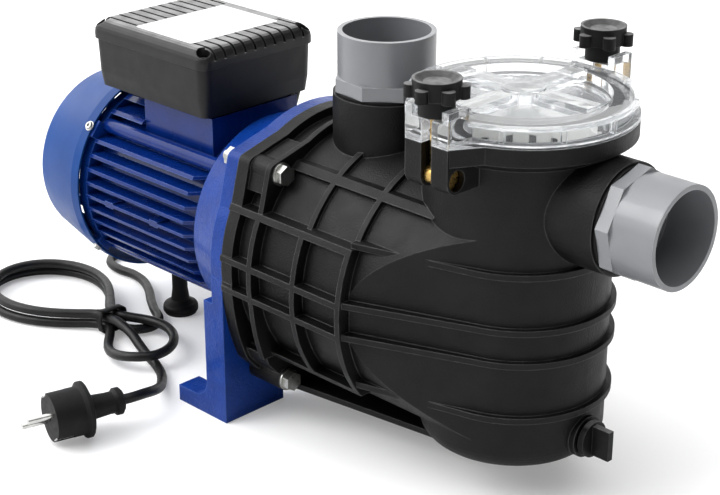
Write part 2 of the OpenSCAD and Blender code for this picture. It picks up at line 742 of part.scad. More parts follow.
// Casing
module plan_taper(half, r, z0, z1) {
    start = [hoop_x[2] - 1, -half];
    a = touch_angle(start, r);
    touch = [pot_x + (r - 0.2) * cos(a), (r - 0.2) * sin(a)];
    translate([0, 0, z0]) linear_extrude(z1 - z0) union() {
        polygon([start, touch, [touch[0], -touch[1]], [start[0], half]]);
        translate([pot_x, 0]) circle(r);
    }
}

function barrel_half(up, r) = sqrt(r * r - up * up);
module barrel_ribs() {
    upper = rib_ups[0];
    lower = rib_ups[3] - rib_t;
    for (x = hoop_x) {
        intersection() {
            rod(x - rib_t / 2, x + rib_t / 2, barrel_r + rib_h);
            box(x - rib_t, x + rib_t, -half_w * 2, half_w * 2, lower, upper);
        }
        intersection() {
            rod(x - rib_t / 2, x + rib_t / 2, barrel_r + upper_rib_h);
            box(x - rib_t, x + rib_t, -half_w * 2, half_w * 2, lower + 1, half_w * 2);
        }
    }
    intersection() {
        rod(0, hoop_x[2], barrel_r + rib_h);
        for (up = rib_ups) box(0, hoop_x[2], -half_w * 2, half_w * 2, up - rib_t, up);
    }
    intersection() {
        rod(0, pot_x - 20, barrel_r + upper_rib_h);
        box(0, pot_x - 20, -half_w * 2, half_w * 2, shelf_up - rib_t, shelf_up);
    }
}

// Rib round the flange, and the solid corners that carry the casing bolts
module flange_rib() {
    front = hoop_x[0] + rib_t / 2;
    intersection() {
        flange_outline(hoop_x[0] - rib_t / 2, front);
        box(0, 2 * front, -half_w * 2, half_w * 2, rib_ups[3] - rib_t + 0.5, half_w * 2);
    }
    intersection() {
        flange_outline(rim_t - 1, front - 1.5, 3);
        both_sides() {
            box(0, 2 * front, half_w - 58, half_w * 2, bolt_spots[0][1] - 14, half_w * 2);
            box(0, 2 * front, half_w - 58, half_w * 2, -half_w * 2, rib_ups[3] - rib_t / 2);
        }
    }
}

// Flat keel under the barrel
keel_t = 4.5;
keel_up = -bottom_down + 1;
module keel() translate([0, 0, keel_up]) linear_extrude(keel_t) polygon([[rim_t - 1, half_w - 36],
    [rim_t - 1, 36 - half_w], [pot_x - 20, 20 - pot_r], [pot_x - 20, pot_r - 20]]);

module pot_form() translate([pot_x, 0, 0]) rotate_extrude() polygon(concat(
    [[0, -pot_down]], arc([pot_r - 16, -pot_down + 16], 16, -90, 0),
    [[pot_r, lid_up - pot_flange_h - 7], [pot_flange_r, lid_up - pot_flange_h],
        [pot_flange_r, lid_up], [0, lid_up]]));

module fairing(z0, z1) translate([0, 0, z0]) linear_extrude(z1 - z0)
    polygon([[-ear_half_w + 0.5, ear_out - 1],
    [ear_half_w - 0.5, ear_out - 1], [ear_half_w * 1.85, lid_r - 12], [-ear_half_w * 1.85, lid_r - 12]]);
module lug(r0) {
    y0 = pot_bore_r;
    translate([pot_x, 0, 0]) fairing(lid_up - pot_flange_h, lid_up - seat_gap);
    box(pot_x - ear_half_w, pot_x + ear_half_w, y0, ear_out, pivot_up, lid_up - seat_gap);
    translate([0, knob_y, pivot_up]) rod(pot_x - ear_half_w, pot_x + ear_half_w, r0);
    box(pot_x - ear_half_w, pot_x + ear_half_w, y0, knob_y, pivot_up - r0, pivot_up);
}

// Space between the barrel and the pot, drawn in by a wall for the water inside it
module throat_form(wall) intersection() {
    rod(hoop_x[2], pot_x + pot_r / 2, barrel_r - wall);
    plan_taper(barrel_r - wall - 0.3, pot_r - wall, -barrel_r, barrel_r);
}

drain_boss_r = 15;
module casing_form() {
    flange_outline(0, rim_t);
    flange_rib();
    rod(0, hoop_x[2] + rib_t / 2, barrel_r);
    barrel_ribs();
    keel();
    throat_form(0);
    for (up = band_ups) {
        half = min(barrel_half(up, barrel_r + rib_h), barrel_half(up - rib_t, barrel_r + rib_h));
        plan_taper(half - 0.3, band_r, up - rib_t, up);
    }
    pot_form();
    both_sides() lug(ear_out - knob_y);
    translate([0, 0, suction_up]) rod(pot_x, suction_face, port_r);
    translate([discharge_x, 0, 0]) cylinder(r = port_r, h = discharge_top);
    bolt_places() rod(0, hoop_x[0] + rib_t / 2, hex_r + 1.4);
    translate([0, 0, drain_up]) rod(pot_x, drain_x + 3, drain_boss_r);
}

spot_gap = 0.05;
module pump_casing() color("black") difference() {
    casing_form();
    rod(-1, barrel_depth, barrel_bore_r);
    rod(barrel_depth - 1, barrel_depth + 8, eye_r + 4 + run_gap);
    rod(barrel_depth, pot_x, eye_r);
    throat_form(casing_wall + 0.4);
    translate([pot_x, 0, -pot_down + casing_wall]) cylinder(r = pot_bore_r - ledge_w, h = pot_down * 4);
    translate([pot_x, 0, lid_up - ledge_down]) cylinder(r = pot_bore_r, h = ledge_down + 1);
    translate([pot_x, 0, lid_up - 4]) difference() {
        cylinder(r = (lid_r + pot_bore_r) / 2 + 3.4, h = 5);
        cylinder(r = (lid_r + pot_bore_r) / 2 - 1.6, h = 5);
    }
    translate([0, 0, suction_up]) rod(pot_x, suction_face + 1, thread_r);
    translate([discharge_x, 0, 0]) cylinder(r = thread_r, h = discharge_top + 1);
    bolt_places() rod(-1, hoop_x[0] + rib_t, bolt_r + 0.3);
    bolt_places() rod(hoop_x[0] + rib_t / 2, hoop_x[0] + rib_t / 2 + washer_t + 0.2, hex_r + 1 + spot_gap);
    translate([0, 0, drain_up]) rod(pot_x, drain_x + 4, drain_r + fit);
    both_sides() {
        box(pot_x - slot_half_w, pot_x + slot_half_w, knob_y - eye_ring_r - 1.5, ear_out + 1,
            pivot_up - 20, lid_up + 1);
        translate([0, knob_y, pivot_up]) {
            rod(pot_x - ear_half_w + 2, pot_x + ear_half_w + 1, pin_r + fit);
            rod(pot_x + 10.5, pot_x + ear_half_w + 1, pin_head_r + 0.5);
        }
    }
}

module casing_bolts() color("silver") bolt_places() {
    rod(-plate_t - washer_t - 11, hoop_x[0] + rib_t / 2 + washer_t, bolt_r);
    along_x(hoop_x[0] + rib_t / 2 + washer_t) cylinder(r = hex_r, h = 5.5, $fn = 6);
}
module casing_washers() color("gainsboro") bolt_places() {
    ring(hoop_x[0] + rib_t / 2, hoop_x[0] + rib_t / 2 + washer_t, bolt_r + 0.2, hex_r + 1);
    ring(-plate_t - washer_t, -plate_t, bolt_r + 0.2, hex_r + 1);
}
module casing_nuts() color("silver") bolt_places() difference() {
    along_x(-plate_t - washer_t - 7) cylinder(r = hex_r, h = 7, $fn = 6);
    rod(-plate_t - washer_t - 8, 0, bolt_r + fit);
}

drain_r = 9;
module drain_plug() color("black") translate([0, 0, drain_up]) {
    rod(drain_x - 8, drain_x + 3 + 1.6, drain_r);
    rod(drain_x + 3 + 1.6, drain_x + 9, drain_boss_r - 2);
    intersection() {
        box(drain_x + 8, drain_x + 23, -2.4, 2.4, -11, 11);
        rod(drain_x + 8, drain_x + 23, 11.5);
    }
}
module drain_plug_o_ring() color("black") translate([0, 0, drain_up]) along_x(drain_x + 3 + 0.8)
    rotate_extrude() translate([drain_r + 1.6, 0]) circle(0.78);

// Strainer basket with rows of slots
basket_slots = 18;
basket_rows = 4;
module strainer_basket() color("whitesmoke") translate([pot_x, 0, lid_up - ledge_down]) difference() {
    union() {
        translate([0, 0, seat_gap]) cylinder(r = basket_rim_r, h = 4);
        translate([0, 0, seat_gap - basket_h]) cylinder(r1 = basket_r - 5, r2 = basket_r, h = basket_h);
    }
    translate([0, 0, basket_wall + seat_gap - basket_h])
        cylinder(r1 = basket_r - 5 - basket_wall, r2 = basket_r - basket_wall, h = basket_h + 5);
    for (row = [0:basket_rows - 1], i = [0:basket_slots / 2 - 1]) rotate(i * 360 / basket_slots)
        translate([-basket_r - 5, -3, -basket_h + 14 + row * (basket_h - 20) / basket_rows])
            cube([2 * basket_r + 10, 6, (basket_h - 20) / basket_rows - 8]);
}

// Clear lid
lid_o_ring_r = (lid_r + pot_bore_r) / 2 + 0.9;
module lid_o_ring() color("black") translate([pot_x, 0, lid_up - 2]) rotate_extrude()
    translate([lid_o_ring_r, 0]) circle(1.85);

spoke_w = 14;
window_r = lid_r - 19;
window_floor = lid_h - 6;
rim_ribs = 12;
module ear() difference() {
    union() {
        box(-ear_half_w, ear_half_w, lid_r - 8, ear_out, 0, ear_wall_up);
        fairing(0, 3.4);
    }
    box(-stem_r - 1, stem_r + 1, window_r, ear_out + 1, ear_seat_up, ear_wall_up + 1);
    box(-ear_half_w - 1, ear_half_w + 1, window_r, lid_r - 4, lid_h, ear_wall_up + 1);
    box(-slot_half_w, slot_half_w, knob_y, ear_out + 1, -1, ear_wall_up);
    translate([0, knob_y, -1]) cylinder(r = slot_half_w, h = ear_wall_up + 1);
    slab(-stem_r - 1, stem_r + 1) polygon([[knob_y + 3, ear_seat_up + 0.01],
        [ear_out + 1, ear_seat_up - 1.4], [ear_out + 1, ear_seat_up + 1]]);
}
module strainer_lid() color("white", 0.4) translate([pot_x, 0, lid_up]) {
    difference() {
        union() {
            cylinder(r = lid_r, h = 3);
            cylinder(r = lid_r - 5, h = lid_h);
            translate([0, 0, lid_h - 3.5]) cylinder(r = lid_r - 1, h = 3.5);
            for (i = [0:rim_ribs - 1]) rotate(i * 360 / rim_ribs)
                box(lid_r - 8, lid_r - 1.5, -1.5, 1.5, 1, lid_h - 1);
            translate([0, 0, -8]) cylinder(r = pot_bore_r - run_gap, h = 9);
            cylinder(r1 = window_r + 4, r2 = 12, h = lid_h + 3.5);
            cylinder(r = 15, h = lid_h + 3.5);
            for (a = [0, 90]) rotate(a)
                box(-window_r, window_r, -spoke_w / 2, spoke_w / 2, 0, lid_h + 2);
        }
        difference() {
            translate([0, 0, window_floor]) cylinder(r = window_r, h = lid_h);
            cylinder(r = 15, h = lid_h * 2);
            for (a = [0, 90]) rotate(a)
                box(-lid_r, lid_r, -spoke_w / 2, spoke_w / 2, 0, lid_h * 2);
        }
        translate([0, 0, -9]) cylinder(r = pot_bore_r - run_gap - 3, h = window_floor + 6);
    }
    both_sides() ear();
}

// Knobs on swing bolts that hinge in the casing lugs
module pivot_pins() color("goldenrod") both_sides() translate([0, knob_y, pivot_up]) {
    rod(pot_x - ear_half_w + 2 + seat_gap, pot_x + 10.5, pin_r);
    rod(pot_x + 10.5 + seat_gap, pot_x + 10.5 + pin_head_t, pin_head_r);
    rod(pot_x + 10, pot_x + 11, pin_r);
}

bolt_top = pivot_down + knob_bottom + knob_h - 7;
module swing_bolt() translate([pot_x, knob_y, pivot_up]) difference() {
    union() {
        rod(-slot_half_w + 0.25, slot_half_w - 0.25, eye_ring_r);
        cylinder(r = swing_r, h = bolt_top);
    }
    rod(-slot_half_w - 1, slot_half_w + 1, pin_r + fit);
}
module right_swing_bolt() color("goldenrod") swing_bolt();
module left_swing_bolt() color("goldenrod") mirror([0, 1, 0]) swing_bolt();

insert_r = swing_r + 2.4;
insert_h = 12;
module knob_insert() translate([pot_x, knob_y, lid_up + knob_bottom + 1]) difference() {
    cylinder(r = insert_r, h = insert_h);
    translate([0, 0, -1]) cylinder(r = swing_r + fit, h = insert_h + 2);
}
module right_knob_insert() color("darkgoldenrod") knob_insert();
module left_knob_insert() color("darkgoldenrod") mirror([0, 1, 0]) knob_insert();

lobe_count = 6;
lobe_r = 4.3;
lobe_t = 8.5;
dish_h = 12.5;
module knob() translate([pot_x, knob_y, lid_up + knob_bottom]) difference() {
    union() {
        cylinder(r = stem_r, h = knob_h - 5);
        translate([0, 0, knob_h - dish_h]) cylinder(r1 = knob_r - 5.6, r2 = knob_r - 5, h = dish_h);
        for (i = [0:lobe_count - 1]) rotate(22 + i * 360 / lobe_count)
            translate([knob_r - lobe_r, 0, knob_h - dish_h - 0.5]) cylinder(r = lobe_r, h = lobe_t);
    }
    translate([0, 0, -1]) cylinder(r = insert_r + fit, h = insert_h + 2 + seat_gap);
    translate([0, 0, insert_h]) cylinder(r = swing_r + run_gap, h = knob_h - insert_h - 6.5);
    translate([0, 0, knob_h - 2.5]) cylinder(r1 = knob_r - 12, r2 = knob_r - 6, h = 3);
}
module right_knob() color("black") knob();
module left_knob() color("black") mirror([0, 1, 0]) knob();

// Pipe adapters, drawn upright from the face of their port
module port_gasket() color("black") difference() {
    cylinder(r = port_r - 2, h = gasket_t);
    translate([0, 0, -1]) cylinder(r = thread_r + run_gap, h = gasket_t + 2);
}
module adapter(turn) color("gray") translate([0, 0, gasket_t]) difference() {
    union() {
        translate([0, 0, -22]) cylinder(r = thread_r - fit, h = 23);
        rotate(turn) cylinder(r = port_r - 0.5, h = collar_t, $fn = 8);
        cylinder(r = pipe_d / 2 + socket_wall, h = collar_t + socket_out);
    }
    translate([0, 0, -23]) cylinder(r = pipe_d / 2 - 5, h = 80);
    translate([0, 0, collar_t + socket_out - socket_depth]) cylinder(r = pipe_d / 2, h = socket_depth + 1);
}
module at_discharge() translate([discharge_x, 0, discharge_top]) children();
module at_suction() translate([suction_face, 0, suction_up]) rotate([0, 90, 0]) children();
module discharge_gasket() at_discharge() port_gasket();
module discharge_adapter() at_discharge() adapter(17);
module suction_gasket() at_suction() port_gasket();
module suction_adapter() at_suction() adapter(-7.5);

// Mains cord and plug
function eased(k) = k * k * (3 - 2 * k);
function hank_climb(a) = eased(min(1, max(0, (a - climb_from) / (climb_to - climb_from))));
function hank_point(a) = let (
    c = cos(a), s = sin(a), up = hank_climb(a),
    reach = (c > 0 ? right_reach : left_reach) - inner_step * up,
    swell = (c > 0 ? right_swell : left_swell) - inner_step * 1.5 * up,
    lean = c > 0 ? right_lean * c * c : 0)
    [hank_centre[0] + reach * (c + end_round * c * c * c) / (1 + end_round),
        hank_centre[1] - lean
            + s * (waist_half + swell * (sqrt(c * c + waist_soft * waist_soft) - waist_soft)),
        cord_rest + waist_lift * exp(-c * c / 0.06) + layer_step * up];
function hank_run(per_loop) = [for (a = [hank_from:360 / per_loop:hank_to]) hank_point(a)];
hank_bends = hank_run(rings_per_loop);
hank_first = hank_bends[0] + [cord_d, 0, 0];
hank_last = hank_bends[len(hank_bends) - 1] + [cord_d, 0, 0];
hank_path = concat([hank_first], hank_bends, [hank_last]);

plug_way = [cos(plug_heading), sin(plug_heading), 0];
lead_path = smooth(concat([for (p = lead_points) gland_end + p], lead_floor_points,
    [hank_first + [cord_d, 0, 0], hank_first]), 2);
tail_path = smooth(concat([hank_last, hank_last + [cord_d, 0, 0]], tail_points,
    [plug_end - cord_d * plug_way, plug_end]), 2);

module cord_lead() color("black") tube(lead_path, cord_r, 8, [0, 1, 0], [-1, 0, 0]);
module cord_hank() color("black") tube(hank_path, cord_r, 6, [-1, 0, 0], [1, 0, 0]);
module cord_tail() color("black") tube(tail_path, cord_r, 8, [1, 0, 0], plug_way);

tie_w = 10;
tie_t = 1.3;
tie_half = waist_half + cord_r + 2.3;
tie_low = cord_rest + waist_lift - cord_r - 0.5;
tie_high = tie_low + layer_step + cord_d + 1;
module cord_tie() color("black") translate([hank_centre[0], hank_centre[1], 0]) difference() {
    union() {
        slab(-tie_w / 2, tie_w / 2) polygon(rounded_rect(-tie_half - tie_t, tie_half + tie_t,
            tie_low - tie_t, tie_high + tie_t, 4));
        box(-tie_w / 2, tie_w / 2, -4, 5, tie_high, tie_high + tie_t + 3);
    }
    slab(-tie_w, tie_w) polygon(rounded_rect(-tie_half, tie_half, tie_low, tie_high, 3));
}

module at_plug() translate(plug_end) rotate([0, 0, plug_heading]) rotate([plug_roll, 0, 0])
    rotate([0, 90, 0]) children();
plug_r = plug_d / 2;
plug_len = 57;
pin_spread = 9.5;
plug_pin_r = 2.4;
recess_d = 2.4;
recess_len = 15;
module plug_recess(side, depth, half, back, front)
    mirror([side < 0 ? 1 : 0, 0, 0])
        box(plug_r - depth, plug_r + 1, -half, half, plug_len - back, plug_len + front);
module plug_body() color("black") at_plug() difference() {
    rotate_extrude() polygon([[0, 0], [8, 0], [10.5, 2], [10.5, 6], [8.5, 8], [8.5, 12], [9.5, 26],
        [plug_r - 2, 27], [plug_r + 3, 29], [plug_r + 3, 32], [plug_r, 34], [plug_r, plug_len],
        [0, plug_len]]);
    for (y = [-pin_spread, pin_spread])
        translate([0, y, plug_len - 10]) cylinder(r = plug_pin_r + fit, h = 11);
    for (side = [-1, 1]) plug_recess(side, recess_d, 5, recess_len, 1);
    translate([0, 0, plug_len - 12]) cylinder(r = 2.5, h = 13);
}
module plug_pins() color("silver") at_plug() for (y = [-pin_spread, pin_spread])
    translate([0, y, plug_len - 10 + seat_gap]) cylinder(r = plug_pin_r, h = 29);
module plug_earth_contacts() color("silver") at_plug() for (side = [-1, 1]) mirror([side < 0 ? 1 : 0, 0, 0])
    box(plug_r - recess_d + seat_gap, plug_r - recess_d + 1.2, -4, 4,
        plug_len - recess_len + seat_gap, plug_len);

on_axis() motor_frame();
on_axis() stator_core();
on_axis() stator_winding();
on_axis() rotor_core();
on_axis() motor_shaft();
on_axis() front_bearing_outer_ring();
on_axis() front_bearing_inner_ring();
on_axis() front_bearing_balls();
on_axis() rear_bearing_outer_ring();
on_axis() rear_bearing_inner_ring();
on_axis() rear_bearing_balls();
on_axis() rear_end_shield();
on_axis() tie_rods();
on_axis() cooling_fan();
on_axis() fan_cover();
on_axis() fan_cover_screws();
on_axis() terminal_box_gasket();
on_axis() terminal_box();
on_axis() terminal_box_lid();
on_axis() terminal_lid_screws();
on_axis() terminal_block();
on_axis() run_capacitor();
on_axis() cable_gland();
on_axis() support_foot();
on_axis() pump_bracket();
on_axis() slinger();
on_axis() seal_plate();
on_axis() casing_o_ring();
on_axis() seal_seat();
on_axis() seal_head();
on_axis() impeller();
on_axis() impeller_nut();
on_axis() diffuser();
on_axis() pump_casing();
on_axis() casing_bolts();
on_axis() casing_washers();
on_axis() casing_nuts();
on_axis() drain_plug();
on_axis() drain_plug_o_ring();
on_axis() strainer_basket();
on_axis() lid_o_ring();
on_axis() strainer_lid();
on_axis() pivot_pins();
on_axis() left_swing_bolt();
on_axis() right_swing_bolt();
on_axis() left_knob_insert();
on_axis() right_knob_insert();
on_axis() left_knob();
on_axis() right_knob();
on_axis() discharge_gasket();
on_axis() discharge_adapter();
on_axis() suction_gasket();
on_axis() suction_adapter();
on_floor() cord_lead();
on_floor() cord_hank();
on_floor() cord_tail();
on_floor() cord_tie();
on_floor() plug_body();
on_floor() plug_pins();
on_floor() plug_earth_contacts();
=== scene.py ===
import math
import bmesh
import bpy
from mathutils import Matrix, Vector


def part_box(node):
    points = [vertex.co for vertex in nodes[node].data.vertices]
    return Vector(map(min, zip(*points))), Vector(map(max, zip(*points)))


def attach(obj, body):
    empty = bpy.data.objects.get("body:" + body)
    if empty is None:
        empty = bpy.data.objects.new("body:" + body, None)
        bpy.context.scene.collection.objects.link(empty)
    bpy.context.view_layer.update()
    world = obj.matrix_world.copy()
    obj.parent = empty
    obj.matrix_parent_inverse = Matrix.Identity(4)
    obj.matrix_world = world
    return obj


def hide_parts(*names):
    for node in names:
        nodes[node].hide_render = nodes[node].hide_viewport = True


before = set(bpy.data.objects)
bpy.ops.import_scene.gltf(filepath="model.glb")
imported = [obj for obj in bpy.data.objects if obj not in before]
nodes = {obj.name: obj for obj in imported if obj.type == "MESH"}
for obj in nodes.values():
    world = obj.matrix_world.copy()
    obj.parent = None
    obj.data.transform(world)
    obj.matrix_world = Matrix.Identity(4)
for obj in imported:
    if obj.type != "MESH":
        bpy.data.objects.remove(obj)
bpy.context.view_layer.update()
scene = bpy.context.scene
print("pump loaded,", len(nodes), "nodes")


def cosSin(angle):
    return math.cos(math.radians(angle)), math.sin(math.radians(angle))


def clamp(value, low, high):
    return min(high, max(low, value))


def addPiece(name, data):
    piece = bpy.data.objects.new(name, data)
    scene.collection.objects.link(piece)
    return piece


def meshPiece(name, shape):
    mesh = bpy.data.meshes.new(name)
    shape.to_mesh(mesh)
    shape.free()
    return addPiece(name, mesh)


# camera, fitted to the photo
photoView = {"place": (0.85584, -0.84953, 0.63593), "tilt": 66.92, "turn": 44.91, "lens": 86.71,
             "sensor": 36, "near": 0.01}
cam = addPiece("photoCamera", bpy.data.cameras.new("photoCamera"))
cam.location = photoView["place"]
cam.rotation_euler = (math.radians(photoView["tilt"]), 0, math.radians(photoView["turn"]))
cam.data.lens = photoView["lens"]
cam.data.sensor_fit = "HORIZONTAL"
cam.data.sensor_width = photoView["sensor"]
cam.data.clip_start = photoView["near"]
scene.camera = cam


# mains cord: points in mm from the casing flange, on the floor
cordRoute = {
    "flange": -29.75,
    "thick": 8.0,
    "long": 1.683,
    "onFloor": 4.2,
    "roundness": 5,
    "smoothness": 6,
    "gland": (-148, 89, 229),
    "lead": [(0, 0, 0), (0, 8, 0), (0, 16, 0), (-5, 30, -10), (-15, 39, -40), (-28, 40, -78),
             (-48, 36, -118), (-76, 27, -156), (-106, 11, -188), (-134, -8, -208),
             (-152, -28, -221)],
    "floor": [(-306.25, 40, 4.1), (-306.25, 25, 4.1), (-296.25, 15, 4.1), (-280.25, 12, 4.1),
              (-262.25, 14, 4.1), (-244.25, 11, 4.1), (-225.25, 2, 4.1), (-207.25, -10, 4.1),
              (-190.25, -20, 4.1), (-174.25, -28, 4.1), (-165.25, -41, 4.3), (-167.25, -55, 5.3)],
    "hank": {"middle": (-190.25, -66), "left": (146, 127), "right": (88, 76), "inner": (5, 7.5),
             "lean": 14, "round": 0.6, "soft": 0.25, "waist": 4.4, "rest": 4.1, "lift": 1.8,
             "hump": 0.06, "layer": 8.8, "climb": (285, 345), "start": 90, "step": 7.5,
             "points": 73},
    "tail": [(-157.25, -71, 10.8), (-141.25, -74.5, 6), (-124.25, -79.5, 4.1), (-107.25, -85, 4.1),
             (-92.25, -92, 4.1), (-79.25, -102, 5.5), (-67, -113.5, 10), (-56.5, -127.5, 16),
             (-50.8, -141, 20.6)],
    "plug": (-52.25, -161, 22.1),
    "plugTurn": -105.5,
}


# loops drawn in at the waist; the second lies on the first, a little inside it
def hankPoint(angle):
    h = cordRoute["hank"]
    c, s = cosSin(angle)
    begin, end = h["climb"]
    k = clamp((angle - begin) / (end - begin), 0, 1)
    up = k * k * (3 - 2 * k)
    lobe = h["right"] if c > 0 else h["left"]
    reach, swell = (full - less * up for full, less in zip(lobe, h["inner"]))
    lean = h["lean"] * c * c if c > 0 else 0
    wide = h["waist"] + swell * (math.sqrt(c * c + h["soft"] ** 2) - h["soft"])
    return (h["middle"][0] + reach * (c + h["round"] * c ** 3) / (1 + h["round"]),
            h["middle"][1] - lean + s * wide,
            h["rest"] + h["lift"] * math.exp(-c * c / h["hump"]) + h["layer"] * up)


def cordPoints():
    r, h = cordRoute, cordRoute["hank"]
    thick = r["thick"]
    run = [tuple(a + b for a, b in zip(r["gland"], p)) for p in r["lead"]] + r["floor"]
    hank = [hankPoint(h["start"] + h["step"] * i) for i in range(h["points"])]
    first, last = hank[0], hank[-1]
    run += [(first[0] + 2 * thick, *first[1:]), (first[0] + thick, *first[1:])] + hank
    run += [(last[0] + thick, *last[1:]), (last[0] + 2 * thick, *last[1:])] + r["tail"]
    c, s = cosSin(r["plugTurn"])
    x, y, z = r["plug"]
    run += [(x - thick * c, y - thick * s, z), r["plug"]]
    return [Vector(((x + r["flange"]) / 1000, y / 1000, z / 1000)) for x, y, z in run]


def makeCord():
    curve = bpy.data.curves.new("mainsCord", "CURVE")
    curve.dimensions = "3D"
    curve.bevel_depth = 1  # each point carries the cord's radius, which keeps the curve's box true
    curve.bevel_resolution = cordRoute["roundness"]
    curve.resolution_u = cordRoute["smoothness"]
    curve.use_fill_caps = True
    points = cordPoints()
    line = curve.splines.new("BEZIER")
    line.bezier_points.add(len(points) - 1)
    for i, (spot, place) in enumerate(zip(line.bezier_points, points)):
        before, after = points[max(i - 1, 0)], points[min(i + 1, len(points) - 1)]
        along = (after - before).normalized()
        if place.z < cordRoute["onFloor"] / 1000:
            along.z = 0
        spot.handle_left_type = spot.handle_right_type = "FREE"
        spot.radius = cordRoute["thick"] / 2000
        spot.co = place
        spot.handle_left = place - along * (place - before).length / 3
        spot.handle_right = place + along * (after - place).length / 3
    return addPiece("mainsCord", curve), points


# strap round the hank's waist, in mm: a turn and a third of soft rubber with its loose end on top
strap = {"half": 11.9, "low": 0.7, "high": 19.9, "corner": 6.0, "square": 1.6, "wide": 7.0,
         "thick": 1.1, "turns": 1.367, "steps": 66, "start": 330, "rise": 1.3, "riseFrom": 0.95,
         "riseRate": 12, "drift": 2.6, "sag": 0.35, "sagWaves": 3, "sagFrom": 2,
         "flap": {"long": 9, "lean": 26, "steps": 5},
         "section": [(-1, -0.5), (-0.94, -1), (0.94, -1), (1, -0.5), (1, 0.5), (0.94, 1),
                     (-0.94, 1), (-1, 0.5)]}


def strapRing(angle):
    half, low, high, r = (strap[k] for k in ("half", "low", "high", "corner"))
    c, s = cosSin(angle)
    across, up = half - r, (high - low) / 2 - r
    far = max(abs(c), abs(s))
    y = across * clamp(strap["square"] * c / far, -1, 1) + r * c
    z = up * clamp(strap["square"] * s / far, -1, 1) + r * s
    return Vector((0, y, z + (low + high) / 2)), Vector((0, c, s))


def strapLine():
    line = []
    for i in range(strap["steps"] + 1):
        k = i / strap["steps"]
        angle = strap["start"] + 360 * strap["turns"] * k
        spot, out = strapRing(angle)
        over = strap["turns"] * k - strap["riseFrom"]
        lift = strap["rise"] * clamp(over * strap["riseRate"], 0, 1)
        if spot.z > strap["low"] + strap["sagFrom"]:
            lift += strap["sag"] * cosSin(strap["sagWaves"] * angle)[1]
        line.append((spot + out * lift + Vector((strap["drift"] * (k - 0.5), 0, 0)), out))
    flap = strap["flap"]
    spot, out = line[-1]
    along = (spot - line[-2][0]).normalized()
    for i in range(1, flap["steps"] + 1):
        c, s = cosSin(flap["lean"] * i / flap["steps"])
        spot = spot + (along * c + out * s) * flap["long"] / flap["steps"]
        line.append((spot, out * c - along * s))
    return line


def makeStrap():
    wide, thick = strap["wide"] / 2, strap["thick"] / 2
    x0, y0 = cordRoute["hank"]["middle"]
    waist = Vector((x0 + cordRoute["flange"], y0, 0))
    shape = bmesh.new()
    rings = []
    for spot, out in strapLine():
        ring = [spot + Vector((a * wide, 0, 0)) + out * b * thick + waist
                for a, b in strap["section"]]
        rings.append([shape.verts.new(place / 1000) for place in ring])
    for one, two in zip(rings, rings[1:]):
        for i in range(len(one)):
            j = (i + 1) % len(one)
            shape.faces.new((one[i], one[j], two[j], two[i]))
    shape.faces.new(rings[0])
    shape.faces.new(rings[-1])
    bmesh.ops.recalc_face_normals(shape, faces=shape.faces)
    for face in shape.faces:
        face.smooth = True
    return meshPiece("cordStrap", shape)


cordStrap = makeStrap()
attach(cordStrap, "pump")
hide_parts("cord_tie")
mainsCord, cordLine = makeCord()
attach(mainsCord, "pump")
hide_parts("cord_lead", "cord_hank", "cord_tail")
print("cord laid,", len(cordLine), "points")


